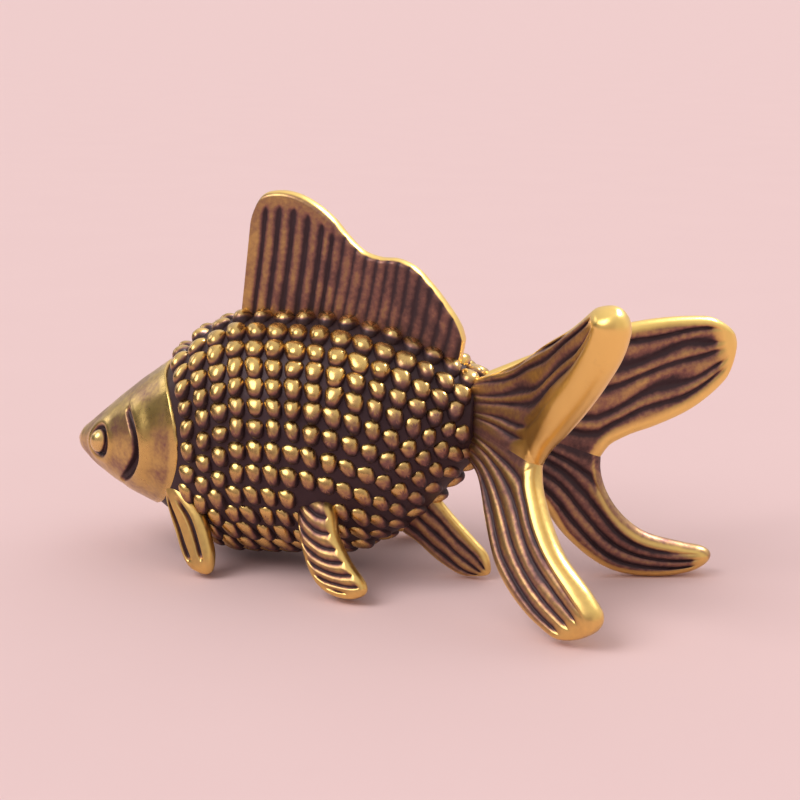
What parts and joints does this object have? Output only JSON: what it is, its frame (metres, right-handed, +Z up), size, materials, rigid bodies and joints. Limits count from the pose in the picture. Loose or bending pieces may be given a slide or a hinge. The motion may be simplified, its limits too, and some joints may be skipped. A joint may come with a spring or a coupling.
{
  "type": "goldfish figurine",
  "caption": "Small solid brass goldfish ornament with a scaled body, ribbed dorsal fin and spread double tail, standing on its lower fin tips and tail lobes.",
  "frame": {"origin": "on the ground below the middle of the fish's length, in the upright mid-plane of its body", "axes": "+X from the nose to the tail, +Y to the fish's right side, +Z up"},
  "size_m": [0.0528, 0.0254, 0.0297],
  "materials": {
    "scaled_brass": "cast brass scales rubbed bright on top, dark brown patina between them",
    "smooth_brass": "smooth worn antique brass, dark in the grooves",
    "eye_brass": "polished brass bead",
    "fin_brass": "satin antique brass, bright rims and dark grooves"
  },
  "bodies": {
    "root": {"body": "scaled_brass", "head": "smooth_brass", "left_eye": "eye_brass", "right_eye": "eye_brass", "dorsal_fin": "fin_brass", "left_pectoral_fin": "fin_brass", "right_pectoral_fin": "fin_brass", "left_pelvic_fin": "fin_brass", "right_pelvic_fin": "fin_brass", "anal_fin": "fin_brass", "left_tail_fin": "fin_brass", "right_tail_fin": "fin_brass"}
  },
  "joints": []
}
